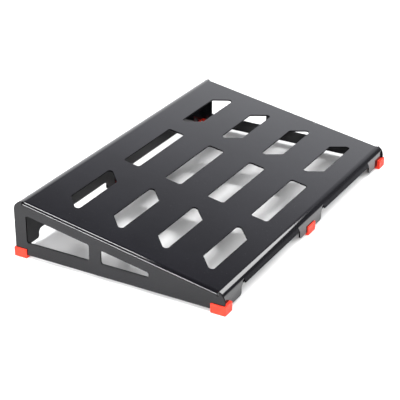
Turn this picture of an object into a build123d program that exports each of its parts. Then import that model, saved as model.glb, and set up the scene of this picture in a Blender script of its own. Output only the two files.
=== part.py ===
from build123d import *
import math
import os

# Wedge pedalboard: one folded aluminium sheet standing on six rubber clip feet.
# Millimetres. X runs to the player's right, Y from the player to the rear, Z up.
# The origin is on the floor, under the middle of the board.

# ---- driving dimensions --------------------------------------------------------------
BOARD_WIDTH = 508.0          # over the outer faces of the two side walls
BOARD_DEPTH = 318.0          # over the front bend and the rear wall
SLOPE = 10.0                 # degrees, deck to floor
REAR_HEIGHT = 85.0           # floor to the corner where deck plane and rear plane would meet
SHEET = 2.3                  # aluminium sheet, 11 gauge
WALL_BOTTOM = 4.7            # height of the walls' lower edges above the floor
SIDE_BEND = 5.4              # outer radius, deck to side walls
END_BEND = 13.3              # outer radius, deck to front lip and rear wall
TAB_BEND = 3.0               # outer radius that turns a front tab vertical
TAB_BEND_START = 38.0        # degrees, how far the front bend still leans when a tab leaves it
CORNER_GAP = 0.4             # open seam between an end bend and the side wall beside it
RELIEF = 2.2                 # length of the notch at each end of a side bend

# ---- openings ------------------------------------------------------------------------
SLOT_WIDTH = 26.2
SLOT_CORNER = 4.5
ROW_PITCH = 68.7
ROWS = 4
ROWS_OFFSET = -6.5           # middle of the slot rows, up the slope from mid-depth
MIDDLE_SLOT = 128.0
SIDE_SLOT = 100.4            # length along the slot, corner to corner of one long edge
SIDE_SLOT_CENTRE = 157.7     # distance from the middle of the board
WALL_BAR = 18.6              # bar under the side cut-outs
TOP_BAR = 17.5               # bar above the side cut-outs, square to the deck
REAR_CUT = (41.3, 140.6)     # front and rear ends of the rear side cut-out
FRONT_CUT = (-49.0, 23.3)    # front and rear ends of the front side cut-out
CUT_CORNER = 3.0
FRONT_LIP_LEAN = 28.0        # degrees, how far the flat front lip leans back from vertical
FRONT_LIP_BOTTOM = 20.0      # lower edge of the front lip between the tabs
REAR_LIP_BOTTOM = 18.0       # lower edge of the rear wall between the tabs
MIDDLE_TAB = 68.0            # width of the middle tabs
CORNER_TAB_END = 205.0       # where a corner tab ends, from the middle of the board
TAB_CORNER = 4.0             # rounded lower corners of the tabs
TAB_FLARE = 6.5              # fillet where a tab widens into its lip
TAB_OVERLAP = 1.0            # how far a tab's outline runs up into its lip
TAB_SLIT = 0.5               # open slit between a front tab's root and the lip beside it

# ---- feet and their fixings ----------------------------------------------------------
FOOT_HEIGHT = 13.2
FOOT_SIDE_WALL = 2.0         # rubber outside the side walls
FOOT_END_WALL = 2.0          # rubber beyond the front bend, the rear wall and the middle tabs
FOOT_INNER_WALL = 2.5
FRONT_FOOT_LEG = 19.6        # leg along a side wall, from the front of the board
REAR_FOOT_LEG = 17.8         # the same at the rear
FOOT_END_LEG = 17.0          # leg along a tab, from the side of the board
MIDDLE_FOOT = 22.0
FOOT_EDGE = 0.8              # rounding of the rubber's outer edges
SCREW_HEIGHT = 9.6          # screw axes above the floor
SCREW_DIAMETER = 3.0
SCREW_LENGTH = 6.0           # under the head
HEAD_DIAMETER = 5.4
HEAD_HEIGHT = 1.8
HEAD_ROUNDING = 1.1
SOCKET_ACROSS_FLATS = 2.0
SOCKET_DEPTH = 1.1
WASHER_DIAMETER = 6.4
WASHER_THICKNESS = 0.5
THREAD_CLEARANCE = 0.1       # on the diameter, so that plain cylinders stand for threads
RUBBER_CLEARANCE = 0.3
TIP_POCKET = 0.9             # blind pocket for a screw's tip in the outer rubber
SIDE_SCREW_INSET = 13.5      # from the end of the board
TAB_SCREW_INSET = 10.6       # from the side of the board

# ---- worked out from them ------------------------------------------------------------
HALF_W = BOARD_WIDTH / 2
HALF_D = BOARD_DEPTH / 2
TAN = math.tan(math.radians(SLOPE))
COS = math.cos(math.radians(SLOPE))
DECK_ANGLE = 90 + SLOPE      # direction of the deck's normal in the side view
CUT_THROUGH = 40.0           # length of any tool that cuts clean through
TAB_LEAN = 180 - TAB_BEND_START


def deck_height(y, below=0.0):
    """Height of the plane `below` mm under the deck's top, square to it, at depth y."""
    return REAR_HEIGHT - (HALF_D - y) * TAN - below / COS


REAR_CENTRE = (HALF_D - END_BEND, deck_height(HALF_D - END_BEND, END_BEND))
FRONT_CENTRE = (END_BEND - HALF_D, deck_height(END_BEND - HALF_D, END_BEND))
DECK_PLANE = Plane(origin=(0, 0, deck_height(0)), x_dir=(1, 0, 0),
                   z_dir=(0, -math.sin(math.radians(SLOPE)), COS))


def on_circle(centre, radius, angle):
    """The point of a circle at an angle in degrees."""
    turn = math.radians(angle)
    return (centre[0] + radius * math.cos(turn), centre[1] + radius * math.sin(turn))


FRONT_TANGENT = on_circle(FRONT_CENTRE, END_BEND, DECK_ANGLE)
REAR_TANGENT = on_circle(REAR_CENTRE, END_BEND, DECK_ANGLE)
TAB_CENTRE = on_circle(FRONT_CENTRE, END_BEND - TAB_BEND, TAB_LEAN)
TAB_FACE = TAB_CENTRE[0] - TAB_BEND          # outer face of the front tabs


def bent_strip(centre, radius, start, end):
    """Section of a bend: one sheet thick, outer radius given, between two angles."""
    outer = CenterArc(centre, radius, start, end - start)
    inner = CenterArc(centre, radius - SHEET, start, end - start)
    return make_face([outer, Line(outer @ 1, inner @ 1), inner, Line(inner @ 0, outer @ 0)])


def section(*points):
    """A straight-sided face in the side view, from (y, z) points."""
    return make_face(Polyline(*points, close=True))


def along_x(face, start, end):
    """A side-view face carried from x = start to x = end."""
    return extrude(Plane.YZ.offset(start) * face, end - start)


def seen_from_front(face, start, end):
    """A front-view face, drawn in (x, z), carried from y = start to y = end."""
    return extrude(Plane.XZ.offset(-start) * face, start - end)


# ---- the folded sheet ----------------------------------------------------------------
def slanted_slot(centre_x, lean):
    """A slot whose ends are cut at 45 degrees; lean -1 leans outwards on the left."""
    half = SIDE_SLOT / 2
    shift = lean * SLOT_WIDTH / 2
    rear, front = SLOT_WIDTH / 2, -SLOT_WIDTH / 2
    outline = Polyline((centre_x - half - shift, rear), (centre_x + half - shift, rear),
                       (centre_x + half + shift, front), (centre_x - half + shift, front), close=True)
    face = make_face(outline)
    return fillet(face.vertices(), SLOT_CORNER)


def deck_slots():
    """The tools that cut the three columns of slots through the deck."""
    slots = []
    for row in range(ROWS):
        up_slope = ROWS_OFFSET + ROW_PITCH * ((ROWS - 1) / 2 - row)
        row_faces = [RectangleRounded(MIDDLE_SLOT, SLOT_WIDTH, SLOT_CORNER),
                     slanted_slot(-SIDE_SLOT_CENTRE, -1),
                     slanted_slot(SIDE_SLOT_CENTRE, 1)]
        for face in row_faces:
            slots.append(extrude(DECK_PLANE * Pos(0, up_slope) * face, CUT_THROUGH / 2, both=True))
    return slots


def tab_outline(start, end, lip_bottom, rounded_start, rounded_end):
    """Front view of a tab: rounded lower corners, and a flare into the lip at each free side."""
    top = lip_bottom + TAB_OVERLAP
    shape = Pos((start + end) / 2, (WALL_BOTTOM + top) / 2) * Rectangle(end - start, top - WALL_BOTTOM)
    for edge, free, outwards in ((start, rounded_start, -1), (end, rounded_end, 1)):
        if not free:
            continue
        corner = Pos(edge - outwards * TAB_CORNER / 2, WALL_BOTTOM + TAB_CORNER / 2)
        shape -= corner * Rectangle(TAB_CORNER, TAB_CORNER)
        shape += Pos(edge - outwards * TAB_CORNER, WALL_BOTTOM + TAB_CORNER) * Circle(TAB_CORNER)
        flare_x = edge + outwards * TAB_FLARE
        flare = Pos(edge + outwards * TAB_FLARE / 2, (lip_bottom - TAB_FLARE + top) / 2)
        shape += flare * Rectangle(TAB_FLARE, TAB_FLARE + TAB_OVERLAP)
        shape -= Pos(flare_x, lip_bottom - TAB_FLARE) * Circle(TAB_FLARE)
    return shape


def tabs_front_view(lip_bottom):
    """All three tabs of one end wall, in front view."""
    inner = HALF_W - SHEET - CORNER_GAP
    return (tab_outline(-inner, -CORNER_TAB_END, lip_bottom, False, True)
            + tab_outline(-MIDDLE_TAB / 2, MIDDLE_TAB / 2, lip_bottom, True, True)
            + tab_outline(CORNER_TAB_END, inner, lip_bottom, True, False))


def front_end(inner):
    """The front bend, its flat lip between the tabs, and the three tabs set back behind the lip."""
    shared = bent_strip(FRONT_CENTRE, END_BEND, DECK_ANGLE, TAB_LEAN)
    lip_angle = 180 - FRONT_LIP_LEAN
    lip_root = on_circle(FRONT_CENTRE, END_BEND, lip_angle)
    lip_root_inner = on_circle(FRONT_CENTRE, END_BEND - SHEET, lip_angle)
    lip_length = (lip_root[1] - FRONT_LIP_BOTTOM) / math.cos(math.radians(FRONT_LIP_LEAN))
    lip = bent_strip(FRONT_CENTRE, END_BEND, TAB_LEAN, lip_angle)
    lip += section(lip_root, on_circle(lip_root, lip_length, lip_angle + 90),
                   on_circle(lip_root_inner, lip_length, lip_angle + 90), lip_root_inner)
    turn = bent_strip(TAB_CENTRE, TAB_BEND, TAB_LEAN, 180)
    root = section((TAB_FACE, TAB_CENTRE[1]), (TAB_FACE + SHEET, TAB_CENTRE[1]),
                   (TAB_FACE + SHEET, FRONT_LIP_BOTTOM), (TAB_FACE, FRONT_LIP_BOTTOM))
    solid = along_x(shared, -inner, inner)
    half_middle = MIDDLE_TAB / 2 + TAB_FLARE
    corner_root = CORNER_TAB_END - TAB_FLARE
    tab_ranges = [(-inner, -corner_root), (-half_middle, half_middle), (corner_root, inner)]
    for start, end in tab_ranges:
        solid += along_x(turn, start, end)
        solid += along_x(root, start, end)
    for (_, start), (end, _) in zip(tab_ranges, tab_ranges[1:]):
        solid += along_x(lip, start + TAB_SLIT, end - TAB_SLIT)
    tabs = seen_from_front(tabs_front_view(FRONT_LIP_BOTTOM), TAB_FACE, TAB_FACE + SHEET)
    return solid + tabs


def rear_end(inner):
    """The rear bend, the rear wall and its three tabs."""
    bend = along_x(bent_strip(REAR_CENTRE, END_BEND, 0, DECK_ANGLE), -inner, inner)
    wall = along_x(section((HALF_D - SHEET, REAR_CENTRE[1]), (HALF_D, REAR_CENTRE[1]),
                           (HALF_D, REAR_LIP_BOTTOM), (HALF_D - SHEET, REAR_LIP_BOTTOM)), -inner, inner)
    tabs = seen_from_front(tabs_front_view(REAR_LIP_BOTTOM), HALF_D - SHEET, HALF_D)
    return bend + wall + tabs


def side_cut_outs():
    """Side view of the two cut-outs: a long rear one and a pointed front one."""
    faces = []
    for front, rear in (REAR_CUT, FRONT_CUT):
        low = WALL_BOTTOM + WALL_BAR
        face = section((front, low), (rear, low), (rear, deck_height(rear, TOP_BAR)),
                       (front, deck_height(front, TOP_BAR)))
        faces.append(fillet(face.vertices(), CUT_CORNER))
    return faces


def side_wall(side):
    """One side wall, bent down from the deck, with ears that cover the ends of both end bends."""
    front_arc = CenterArc(FRONT_CENTRE, END_BEND, DECK_ANGLE, 90 - SLOPE)
    rear_arc = CenterArc(REAR_CENTRE, END_BEND, 0, DECK_ANGLE)
    outline = make_face([
        front_arc, Line(front_arc @ 1, (-HALF_D, WALL_BOTTOM)),
        Line((-HALF_D, WALL_BOTTOM), (HALF_D, WALL_BOTTOM)),
        Line((HALF_D, WALL_BOTTOM), rear_arc @ 0), rear_arc, Line(rear_arc @ 1, front_arc @ 0)])
    # between the ears the wall stops at the lower edge of the side bend
    front_end_of_bend = FRONT_TANGENT[0]
    rear_end_of_bend = REAR_TANGENT[0]
    notch_front, notch_rear = front_end_of_bend - RELIEF, rear_end_of_bend + RELIEF
    trimmed = section((notch_front, deck_height(notch_front, SIDE_BEND)),
                      (notch_rear, deck_height(notch_rear, SIDE_BEND)),
                      (notch_rear, REAR_HEIGHT + END_BEND), (notch_front, REAR_HEIGHT + END_BEND))
    face = outline - trimmed
    for cut_out in side_cut_outs():
        face -= cut_out
    outer = side * HALF_W
    wall = along_x(face, min(outer, outer - side * SHEET), max(outer, outer - side * SHEET))
    # the bend itself, drawn square to the deck and carried along the slope
    length = (rear_end_of_bend - front_end_of_bend) / COS
    bend_plane = Plane(origin=(0, front_end_of_bend, deck_height(front_end_of_bend)),
                       x_dir=(1, 0, 0), z_dir=(0, COS, math.sin(math.radians(SLOPE))))
    centre = (side * (HALF_W - SIDE_BEND), SIDE_BEND)
    start, end = (270, 360) if side > 0 else (180, 270)
    return wall + extrude(bend_plane * bent_strip(centre, SIDE_BEND, start, end), length)


def make_shell():
    """Deck, four bends and four walls from one sheet."""
    inner = HALF_W - SHEET - CORNER_GAP
    depth_below = SHEET * math.sin(math.radians(SLOPE))
    drop = SHEET * COS
    deck = along_x(section(FRONT_TANGENT, REAR_TANGENT,
                           (REAR_TANGENT[0] + depth_below, REAR_TANGENT[1] - drop),
                           (FRONT_TANGENT[0] + depth_below, FRONT_TANGENT[1] - drop)),
                   SIDE_BEND - HALF_W, HALF_W - SIDE_BEND)
    shell = deck + front_end(inner) + rear_end(inner) + side_wall(-1) + side_wall(1)
    for slot in deck_slots():
        shell -= slot
    hole = (SCREW_DIAMETER + THREAD_CLEARANCE) / 2
    for _, place in SCREWS:
        shell -= place * Pos(0, 0, -SHEET / 2) * Cylinder(hole, 2 * SHEET)
    return shell


# ---- screws and washers --------------------------------------------------------------
def screw_place(x, y, direction):
    """A frame on the sheet's inner face, its Z pointing along `direction`, into the board."""
    return Location(Plane(origin=(x, y, SCREW_HEIGHT), z_dir=direction, x_dir=(0, 0, 1)))


def all_screws():
    """Every foot screw: a name and its place on the inner face of the sheet."""
    ends = {"front": (-1, TAB_FACE + SHEET), "rear": (1, HALF_D - SHEET)}
    places = []
    for end, (end_sign, tab_inner) in ends.items():
        inwards = (0, -end_sign, 0)
        for side, side_sign in (("left", -1), ("right", 1)):
            x_inner = side_sign * (HALF_W - SHEET)
            places.append((f"{end}_{side}_side",
                           screw_place(x_inner, end_sign * (HALF_D - SIDE_SCREW_INSET), (-side_sign, 0, 0))))
            places.append((f"{end}_{side}_tab",
                           screw_place(side_sign * (HALF_W - TAB_SCREW_INSET), tab_inner, inwards)))
        places.append((f"{end}_middle_tab", screw_place(0, tab_inner, inwards)))
    return places


SCREWS = all_screws()


def make_washer(place):
    """A plain washer, flat on the foot's inner wall."""
    height = FOOT_INNER_WALL + WASHER_THICKNESS / 2
    ring = Cylinder(WASHER_DIAMETER / 2, WASHER_THICKNESS)
    ring -= Cylinder((SCREW_DIAMETER + RUBBER_CLEARANCE) / 2, WASHER_THICKNESS)
    return place * Pos(0, 0, height) * ring


def make_screw(place):
    """A button-head socket screw that runs from inside the board out through the sheet."""
    seat = FOOT_INNER_WALL + WASHER_THICKNESS
    head = Pos(0, 0, seat + HEAD_HEIGHT / 2) * Cylinder(HEAD_DIAMETER / 2, HEAD_HEIGHT)
    head = fillet(head.edges().filter_by(GeomType.CIRCLE).sort_by(Axis.Z)[-1], HEAD_ROUNDING)
    shank = Pos(0, 0, seat - SCREW_LENGTH / 2) * Cylinder(SCREW_DIAMETER / 2, SCREW_LENGTH)
    socket = Pos(0, 0, seat + HEAD_HEIGHT) * extrude(
        RegularPolygon(SOCKET_ACROSS_FLATS / 2, 6, major_radius=False), -SOCKET_DEPTH)
    return place * (head + shank - socket)


# ---- rubber feet ---------------------------------------------------------------------
def box_between(low, high):
    """A box from its lowest corner to its highest."""
    size = [b - a for a, b in zip(low, high)]
    middle = [(a + b) / 2 for a, b in zip(low, high)]
    return Pos(*middle) * Box(*size)


def screw_passages(foot):
    """Cut each screw's way through a foot: the inner wall, and a blind pocket beyond the sheet."""
    through = Pos(0, 0, FOOT_INNER_WALL / 2) * Cylinder((SCREW_DIAMETER + RUBBER_CLEARANCE) / 2,
                                                        FOOT_INNER_WALL)
    pocket = Pos(0, 0, -SHEET - TIP_POCKET / 2) * Cylinder((SCREW_DIAMETER + RUBBER_CLEARANCE) / 2,
                                                           TIP_POCKET)
    for _, place in SCREWS:
        foot -= place * through
        foot -= place * pocket
    return foot


def corner_foot(end_sign, side_sign):
    """An L-shaped clip that takes the corner of a side wall and the tab beside it."""
    tab_outer = -TAB_FACE if end_sign < 0 else HALF_D
    leg_start = HALF_D - (FRONT_FOOT_LEG if end_sign < 0 else REAR_FOOT_LEG)
    face = HALF_D + FOOT_END_WALL
    side_face = HALF_W + FOOT_SIDE_WALL
    body = box_between((HALF_W - FOOT_END_LEG, leg_start, 0), (side_face, face, FOOT_HEIGHT))
    body = fillet(body.edges().filter_by(Axis.Z), FOOT_EDGE)
    body = fillet(body.faces().sort_by(Axis.Z)[-1].edges(), FOOT_EDGE / 2)
    body = chamfer(body.faces().sort_by(Axis.Z)[0].edges(), FOOT_EDGE / 2)
    inner_x = HALF_W - SHEET - FOOT_INNER_WALL
    inner_y = tab_outer - SHEET - FOOT_INNER_WALL
    over = CUT_THROUGH
    body -= box_between((HALF_W - FOOT_END_LEG - over, leg_start - over, -over),
                        (inner_x, inner_y, over))
    # the slots that the sheet sits in
    body -= box_between((HALF_W - SHEET, leg_start - over, WALL_BOTTOM), (HALF_W, HALF_D, over))
    body -= box_between((HALF_W - FOOT_END_LEG - over, tab_outer - SHEET, WALL_BOTTOM),
                        (HALF_W - SHEET, tab_outer, over))
    if end_sign < 0:
        body = mirror(body, Plane.XZ)
    if side_sign < 0:
        body = mirror(body, Plane.YZ)
    return screw_passages(body)


def middle_foot(end_sign):
    """A clip that takes a middle tab."""
    tab_outer = -TAB_FACE if end_sign < 0 else HALF_D
    face = tab_outer + FOOT_END_WALL
    inner_y = tab_outer - SHEET - FOOT_INNER_WALL
    body = box_between((-MIDDLE_FOOT / 2, inner_y, 0), (MIDDLE_FOOT / 2, face, FOOT_HEIGHT))
    body = fillet(body.edges().filter_by(Axis.Z), FOOT_EDGE)
    body = fillet(body.faces().sort_by(Axis.Z)[-1].edges(), FOOT_EDGE / 2)
    body = chamfer(body.faces().sort_by(Axis.Z)[0].edges(), FOOT_EDGE / 2)
    body -= box_between((-MIDDLE_FOOT, tab_outer - SHEET, WALL_BOTTOM), (MIDDLE_FOOT, tab_outer, CUT_THROUGH))
    if end_sign < 0:
        body = mirror(body, Plane.XZ)
    return screw_passages(body)


# ---- write every piece ---------------------------------------------------------------
def all_parts():
    """Every piece by name."""
    parts = {"folded_shell": make_shell()}
    for end, end_sign in (("front", -1), ("rear", 1)):
        for side, side_sign in (("left", -1), ("right", 1)):
            parts[f"foot_{end}_{side}"] = corner_foot(end_sign, side_sign)
        parts[f"foot_{end}_middle"] = middle_foot(end_sign)
    for name, place in SCREWS:
        parts[f"screw_{name}"] = make_screw(place)
        parts[f"washer_{name}"] = make_washer(place)
    return parts


os.makedirs("parts", exist_ok=True)
for name, shape in all_parts().items():
    export_step(shape, f"parts/{name}.step")
    print(f"{name}: {shape.volume:.1f} mm3, {len(shape.solids())} solid(s)")
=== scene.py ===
import math

import bmesh
import bpy
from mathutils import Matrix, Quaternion, Vector
from mathutils.bvhtree import BVHTree


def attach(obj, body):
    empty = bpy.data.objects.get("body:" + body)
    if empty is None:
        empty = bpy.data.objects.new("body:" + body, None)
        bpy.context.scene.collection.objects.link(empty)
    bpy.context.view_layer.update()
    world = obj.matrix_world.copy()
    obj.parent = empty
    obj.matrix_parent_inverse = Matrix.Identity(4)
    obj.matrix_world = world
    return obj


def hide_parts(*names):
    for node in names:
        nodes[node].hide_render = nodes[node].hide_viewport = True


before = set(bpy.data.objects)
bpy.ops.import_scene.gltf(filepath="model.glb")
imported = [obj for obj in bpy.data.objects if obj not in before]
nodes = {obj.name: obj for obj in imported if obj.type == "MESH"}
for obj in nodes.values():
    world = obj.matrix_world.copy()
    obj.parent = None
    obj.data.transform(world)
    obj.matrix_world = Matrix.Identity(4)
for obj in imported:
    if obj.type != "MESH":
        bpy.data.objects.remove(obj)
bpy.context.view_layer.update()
MM = 0.001

# A wedge pedalboard: one folded black sheet on red rubber clip feet. Metres, in the CAD frame:
# X to the player's right, Y to the high rear edge, Z up from the floor.


# ---- node helpers --------------------------------------------------------------------
class Shader:
    """A Principled material with short ways to add the nodes that pattern it."""

    def __init__(self, name, **fixed):
        self.material = bpy.data.materials.new(name)
        self.material.use_nodes = True
        self.tree = self.material.node_tree
        self.tree.nodes.clear()
        output = self.tree.nodes.new("ShaderNodeOutputMaterial")
        self.bsdf = self.tree.nodes.new("ShaderNodeBsdfPrincipled")
        self.link(self.bsdf.outputs["BSDF"], output.inputs["Surface"])
        self.place = self.tree.nodes.new("ShaderNodeTexCoord").outputs["Object"]
        for socket, value in fixed.items():
            self.bsdf.inputs[socket.replace("_", " ")].default_value = value

    def link(self, source, target):
        self.tree.links.new(source, target)

    def stretched(self, scale):
        """Object coordinates, scaled differently along each axis."""
        node = self.tree.nodes.new("ShaderNodeMapping")
        node.inputs["Scale"].default_value = scale
        self.link(self.place, node.inputs["Vector"])
        return node.outputs["Vector"]

    def noise(self, scale, detail, roughness=0.55, vector=None):
        node = self.tree.nodes.new("ShaderNodeTexNoise")
        node.inputs["Scale"].default_value = scale
        node.inputs["Detail"].default_value = detail
        node.inputs["Roughness"].default_value = roughness
        self.link(vector or self.place, node.inputs["Vector"])
        return node.outputs["Fac"]

    def specks(self, scale):
        """Distance to the nearest of many scattered points."""
        node = self.tree.nodes.new("ShaderNodeTexVoronoi")
        node.inputs["Scale"].default_value = scale
        self.link(self.place, node.inputs["Vector"])
        return node.outputs["Distance"]

    def ramp(self, value, low, high, to_low=0.0, to_high=1.0):
        """value carried from the range low..high to to_low..to_high, and held at the ends."""
        node = self.tree.nodes.new("ShaderNodeMapRange")
        node.interpolation_type = "SMOOTHSTEP"
        self.link(value, node.inputs["Value"])
        numbers = {"From Min": low, "From Max": high, "To Min": to_low, "To Max": to_high}
        for socket, number in numbers.items():
            node.inputs[socket].default_value = number
        return node.outputs["Result"]

    def mix(self, factor, first, second):
        """first where factor is 0, second where it is 1; each a colour or an output."""
        node = self.tree.nodes.new("ShaderNodeMix")
        node.data_type = "RGBA"
        self.link(factor, node.inputs["Factor"])
        for socket, value in (("A", first), ("B", second)):
            target = next(s for s in node.inputs if s.name == socket and s.type == "RGBA")
            if isinstance(value, tuple):
                target.default_value = (*value, 1.0)
            else:
                self.link(value, target)
        return next(s for s in node.outputs if s.type == "RGBA")

    def combine(self, operation, first, second):
        node = self.tree.nodes.new("ShaderNodeMath")
        node.operation = operation
        self.link(first, node.inputs[0])
        self.link(second, node.inputs[1])
        return node.outputs["Value"]

    def bump(self, height, distance, strength):
        node = self.tree.nodes.new("ShaderNodeBump")
        node.inputs["Distance"].default_value = distance
        node.inputs["Strength"].default_value = strength
        self.link(height, node.inputs["Height"])
        self.link(node.outputs["Normal"], self.bsdf.inputs["Normal"])

    def set(self, socket, output):
        self.link(output, self.bsdf.inputs[socket])


# ---- materials -----------------------------------------------------------------------
def powder_coat(name, tone, rough, gloss):
    """Black powder coat: slight orange peel, faint rubbed scratches and a little dust."""
    coat = Shader(name, IOR=1.46, Specular_IOR_Level=gloss)
    cloud = coat.noise(9.0, detail=4.0)
    base = coat.mix(coat.ramp(cloud, 0.35, 0.65), tone, tuple(c * 1.5 for c in tone))
    dust = coat.ramp(coat.specks(230.0), 0.035, 0.075, 0.35, 0.0)
    base = coat.mix(dust, base, (0.16, 0.16, 0.17))
    coat.set("Base Color", base)
    across = coat.noise(30.0, detail=5.0, roughness=0.7, vector=coat.stretched((4.0, 40.0, 40.0)))
    along = coat.noise(30.0, detail=5.0, roughness=0.7, vector=coat.stretched((40.0, 4.0, 4.0)))
    rubbed = coat.combine("MAXIMUM", coat.ramp(across, 0.62, 0.72), coat.ramp(along, 0.64, 0.74))
    coat.set("Roughness", coat.ramp(rubbed, 0.0, 1.0, rough, rough + 0.10))
    peel = coat.combine("ADD", coat.noise(420.0, detail=2.0), coat.noise(60.0, detail=1.0))
    coat.bump(peel, 0.00002, 0.6)
    return coat.material


def red_rubber():
    """Moulded red rubber: fine eroded texture, cloudy pigment, a little bloom."""
    rubber = Shader("red_rubber", IOR=1.45, Specular_IOR_Level=0.35)
    cloud = rubber.ramp(rubber.noise(150.0, detail=4.0), 0.3, 0.7)
    base = rubber.mix(cloud, (0.68, 0.028, 0.011), (0.78, 0.041, 0.017))
    bloom = rubber.ramp(rubber.noise(600.0, detail=4.0, roughness=0.7), 0.60, 0.75, 0.0, 0.25)
    rubber.set("Base Color", rubber.mix(bloom, base, (0.76, 0.10, 0.05)))
    rubber.set("Roughness", rubber.ramp(cloud, 0.0, 1.0, 0.46, 0.60))
    grain = rubber.noise(2200.0, detail=3.0, roughness=0.7)
    rubber.bump(grain, 0.00008, 0.7)
    return rubber.material


def zinc_steel():
    """Bright zinc plate with turning marks and faint yellow stains."""
    zinc = Shader("zinc_steel", Metallic=1.0, Anisotropic=0.3)
    stain = zinc.ramp(zinc.noise(500.0, detail=4.0), 0.35, 0.7)
    zinc.set("Base Color", zinc.mix(stain, (0.66, 0.67, 0.69), (0.52, 0.50, 0.44)))
    marks = zinc.noise(2600.0, detail=4.0, roughness=0.75)
    zinc.set("Roughness", zinc.ramp(marks, 0.3, 0.7, 0.22, 0.42))
    zinc.bump(marks, 0.00003, 0.6)
    return zinc.material


PAINT = powder_coat("gloss_black", (0.0035, 0.0035, 0.0045), 0.07, 0.42)
PAINT_EDGE = powder_coat("rounded_edge_black", (0.012, 0.012, 0.013), 0.20, 0.4)
PAINT_CUT = powder_coat("cut_edge_black", (0.002, 0.002, 0.0025), 0.45, 0.05)
RUBBER = red_rubber()
ZINC = zinc_steel()


# ---- pieces --------------------------------------------------------------------------
SHARP_ANGLE = 30.0           # degrees between two faces, from which their edge stays sharp
FLAT_ANGLE = 0.4             # degrees, below which neighbouring triangles are one flat face
MERGE_DISTANCE = 0.002 * MM
SHEET = 2.3 * MM
CUT_DEPTH = 1.15 * SHEET     # metal behind a cut edge is deeper than this
SKIN = 0.02 * MM             # start of a ray just under a face
EDGE_SLOT = 1
CUT_SLOT = 2
BEVEL_ANGLE = 35.0           # degrees, edges sharper than this are rounded
SHEET_EDGE = 0.25 * MM       # width of the rounding on each kind of piece
RUBBER_EDGE = 0.35 * MM
METAL_EDGE = 0.08 * MM
SOLE_LIMIT = 0.2 * MM        # the sole is the flat face below this height
DOWNWARDS = -0.99            # the most that a sole's normal may rise
TREAD_PITCH = 2.8 * MM
TREAD_RIM = 0.45 * MM
TREAD_DEPTH = 0.35 * MM


def mark_cut_faces(mesh, slot):
    """Give the sheet's cut edges their own slot: behind them there is more metal than one sheet."""
    tree = BVHTree.FromBMesh(mesh)
    triangles = {}
    for loops in mesh.calc_loop_triangles():
        corners = [loop.vert.co for loop in loops]
        area = (corners[1] - corners[0]).cross(corners[2] - corners[0]).length
        if area > triangles.get(loops[0].face.index, (0.0, None))[0]:
            triangles[loops[0].face.index] = (area, sum(corners, Vector()) / 3)
    for face in mesh.faces:
        centre = triangles[face.index][1]
        inside = centre - face.normal * SKIN
        _, _, _, depth = tree.ray_cast(inside, -face.normal)
        if depth is None or depth > CUT_DEPTH:
            face.material_index = slot


def copy_of(node, name, cut_slot=0):
    """A free copy of a CAD node's mesh, cleaned for editing."""
    piece = bpy.data.objects.new(name, nodes[node].data.copy())
    bpy.context.scene.collection.objects.link(piece)
    mesh = bmesh.new()
    mesh.from_mesh(piece.data)
    bmesh.ops.remove_doubles(mesh, verts=mesh.verts, dist=MERGE_DISTANCE)
    bmesh.ops.dissolve_limit(mesh, angle_limit=math.radians(FLAT_ANGLE), verts=mesh.verts,
                             edges=mesh.edges)
    for edge in mesh.edges:
        edge.smooth = edge.calc_face_angle(0.0) < math.radians(SHARP_ANGLE)
    for face in mesh.faces:
        face.smooth = True
        face.material_index = 0
    mesh.faces.index_update()
    if cut_slot:
        mark_cut_faces(mesh, cut_slot)
    mesh.to_mesh(piece.data)
    mesh.free()
    if piece.data.has_custom_normals:
        bpy.context.view_layer.objects.active = piece
        bpy.ops.mesh.customdata_custom_splitnormals_clear()
    return piece


def soften(piece, width, edge_slot=-1):
    """Round a piece's sharp edges; edge_slot gives the rounding its own material."""
    bevel = piece.modifiers.new("edges", "BEVEL")
    bevel.width = width
    bevel.segments = 2
    bevel.limit_method = "ANGLE"
    bevel.angle_limit = math.radians(BEVEL_ANGLE)
    bevel.harden_normals = True
    bevel.use_clamp_overlap = True
    bevel.material = edge_slot
    weighted = piece.modifiers.new("flat faces stay flat", "WEIGHTED_NORMAL")
    weighted.weight = 100
    weighted.keep_sharp = True


def paint(piece, *materials):
    """Fill a piece's material slots, keeping which face uses which."""
    slots = [polygon.material_index for polygon in piece.data.polygons]
    piece.data.materials.clear()
    for material in materials:
        piece.data.materials.append(material)
    piece.data.polygons.foreach_set("material_index", slots)


def cut_tread(mesh):
    """Divide a foot's flat sole into pads, and sink each pad a little inside a raised rim."""
    sole = [face for face in mesh.faces
            if face.normal.z < DOWNWARDS and face.calc_center_median().z < SOLE_LIMIT]
    low = min(vert.co.x for face in sole for vert in face.verts)
    high = max(vert.co.x for face in sole for vert in face.verts)
    count = round((high - low) / TREAD_PITCH)
    for step in range(1, count):
        cut = (low + (high - low) * step / count, 0, 0)
        around = dict.fromkeys(edge for face in sole for edge in face.edges)
        result = bmesh.ops.bisect_plane(mesh, geom=sole + list(around), plane_co=cut,
                                        plane_no=(1, 0, 0))
        sole += [piece for piece in result["geom"] if isinstance(piece, bmesh.types.BMFace)]
        sole = [face for face in dict.fromkeys(sole) if face.is_valid]
    bmesh.ops.inset_individual(mesh, faces=sole, thickness=TREAD_RIM, depth=-TREAD_DEPTH)


def copy_all(prefix, width, material, shape=None):
    """Replace every CAD node whose name starts with prefix by a rounded copy."""
    for node in sorted(nodes):
        if not node.startswith(prefix):
            continue
        piece = copy_of(node, "visible_" + node)
        if shape:
            mesh = bmesh.new()
            mesh.from_mesh(piece.data)
            shape(mesh)
            mesh.to_mesh(piece.data)
            mesh.free()
        paint(piece, material)
        soften(piece, width)
        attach(piece, "root")
        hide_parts(node)


shell = copy_of("folded_shell", "shell", CUT_SLOT)
paint(shell, PAINT, PAINT_EDGE, PAINT_CUT)
soften(shell, SHEET_EDGE, EDGE_SLOT)
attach(shell, "root")
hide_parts("folded_shell")

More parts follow.
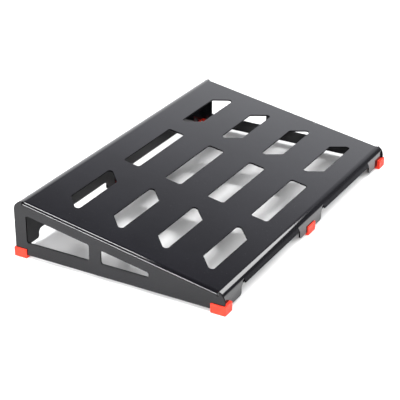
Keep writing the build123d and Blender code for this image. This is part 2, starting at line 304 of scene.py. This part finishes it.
copy_all("foot_", RUBBER_EDGE, RUBBER, cut_tread)
copy_all("screw_", METAL_EDGE, ZINC)
copy_all("washer_", METAL_EDGE, ZINC)


# ---- studio --------------------------------------------------------------------------
FLOOR_HALF = 12.0
FLOOR_DROP = 0.02 * MM       # keeps the floor clear of the soles
WORLD_STRENGTH = 2.36
SWEEP_DIRECTION = (0.87, 0.49, 0.0)      # from the camera across the board
SWEEP_SIDES = [(0.58, (0, 0, 0)), (0.73, (1, 1, 1))]
SWEEP_STOPS = [
    (0.00, (0.95, 0.95, 0.96)),
    (0.47, (0.84, 0.845, 0.87)),
    (0.50, (0.72, 0.73, 0.77)),
    (0.56, (0.37, 0.37, 0.40)),
    (0.62, (0.10, 0.10, 0.115)),
    (0.75, (0.03, 0.03, 0.035)),
    (1.00, (0.03, 0.03, 0.035)),
]
ROOM_STOPS = [
    (0.00, (0.25, 0.25, 0.26)),
    (0.30, (0.10, 0.10, 0.10)),
    (1.00, (0.03, 0.03, 0.035)),
]


def make_floor():
    """A plain pale floor, much wider than the board."""
    mesh = bpy.data.meshes.new("floor")
    signs = [(-1, -1), (1, -1), (1, 1), (-1, 1)]
    corners = [Vector((x * FLOOR_HALF, y * FLOOR_HALF, 0)) for x, y in signs]
    mesh.from_pydata(corners, [], [(0, 1, 2, 3)])
    floor = bpy.data.objects.new("floor", mesh)
    floor.location.z = -FLOOR_DROP
    bpy.context.scene.collection.objects.link(floor)
    pale = Shader("pale_floor", Roughness=0.9, Specular_IOR_Level=0.1)
    tone = pale.ramp(pale.noise(1.5, detail=2.0), 0.3, 0.7)
    pale.set("Base Color", pale.mix(tone, (0.84, 0.84, 0.845), (0.86, 0.86, 0.86)))
    paint(floor, pale.material)


def make_world():
    """A dim room with a pale sweep behind the board that darkens upwards."""
    world = bpy.data.worlds.new("studio")
    world.use_nodes = True
    tree = world.node_tree
    tree.nodes.clear()
    place = tree.nodes.new("ShaderNodeTexCoord").outputs["Generated"]
    height = tree.nodes.new("ShaderNodeSeparateXYZ")
    tree.links.new(place, height.inputs[0])
    facing = tree.nodes.new("ShaderNodeVectorMath")
    facing.operation = "DOT_PRODUCT"
    facing.inputs[1].default_value = SWEEP_DIRECTION
    tree.links.new(place, facing.inputs[0])

    def ramp(source, stops):
        node = tree.nodes.new("ShaderNodeValToRGB")
        tree.links.new(source, node.inputs[0])
        while len(node.color_ramp.elements) < len(stops):
            node.color_ramp.elements.new(0.5)
        for element, (position, colour) in zip(node.color_ramp.elements, stops):
            element.position = position
            element.color = (*colour, 1.0)
        return node.outputs[0]

    side = ramp(facing.outputs["Value"], SWEEP_SIDES)
    sweep = ramp(height.outputs["Z"], SWEEP_STOPS)
    room = ramp(height.outputs["Z"], ROOM_STOPS)
    mix = tree.nodes.new("ShaderNodeMix")
    mix.data_type = "RGBA"
    colours = [s for s in mix.inputs if s.type == "RGBA"]
    tree.links.new(side, mix.inputs["Factor"])
    tree.links.new(room, colours[0])
    tree.links.new(sweep, colours[1])
    background = tree.nodes.new("ShaderNodeBackground")
    background.inputs["Strength"].default_value = WORLD_STRENGTH
    output = tree.nodes.new("ShaderNodeOutputWorld")
    tree.links.new(next(s for s in mix.outputs if s.type == "RGBA"), background.inputs["Color"])
    tree.links.new(background.outputs[0], output.inputs["Surface"])
    bpy.context.scene.world = world


def softbox(name, place, target, size, power, shape="RECTANGLE", roll=0.0):
    """A plain area light at place, facing target; size is its width and height, roll in degrees."""
    light = bpy.data.lights.new(name, "AREA")
    light.shape = shape
    light.size, light.size_y = size
    light.energy = power
    lamp = bpy.data.objects.new(name, light)
    lamp.location = place
    facing = (Vector(target) - Vector(place)).to_track_quat("-Z", "Y")
    lamp.rotation_euler = (facing @ Quaternion((0, 0, 1), math.radians(roll))).to_euler()
    bpy.context.scene.collection.objects.link(lamp)


make_floor()
make_world()
# the key draws the band on the front bend, overhead and left_strip the two lines on the left bend
softbox("key", (1.0, -0.46, 1.01), (0, 0, 0.05), (0.80, 0.44), 10, shape="ELLIPSE", roll=26)
softbox("overhead", (-0.40, 0.62, 1.75), (-0.40, 0.62, 0), (0.24, 0.60), 28)
softbox("left_strip", (-1.6, 0.50, 0.50), (0, 0, 0.05), (0.95, 0.13), 28)
softbox("top", (0.2, -0.85, 1.75), (0, -0.4, 0), (2.2, 1.4), 24)
softbox("camera_fill", (-2.1, -1.2, 1.45), (0, 0, 0), (1.8, 1.3), 52)
softbox("front_fill", (0.9, -2.0, 1.1), (0, 0, 0), (1.6, 1.0), 34)


# ---- camera --------------------------------------------------------------------------
VIEW_AZIMUTH = -60.501
VIEW_ELEVATION = 26.537
VIEW_DISTANCE = 1.8383
VIEW_TARGET = Vector((-0.0586, -0.0135, 0.040))
LENS = 119.06                # millimetres, as is the width of the sensor
SENSOR = 36.0

azimuth, elevation = math.radians(VIEW_AZIMUTH), math.radians(VIEW_ELEVATION)
back = Vector((math.sin(azimuth) * math.cos(elevation), -math.cos(azimuth) * math.cos(elevation),
               math.sin(elevation)))
camera = bpy.data.objects.new("camera", bpy.data.cameras.new("camera"))
camera.data.lens = LENS
camera.data.sensor_width = SENSOR
camera.location = VIEW_TARGET + back * VIEW_DISTANCE
camera.rotation_euler = (math.radians(90 - VIEW_ELEVATION), 0, azimuth)
bpy.context.scene.collection.objects.link(camera)
bpy.context.scene.camera = camera
bpy.context.scene.view_settings.view_transform = "Standard"
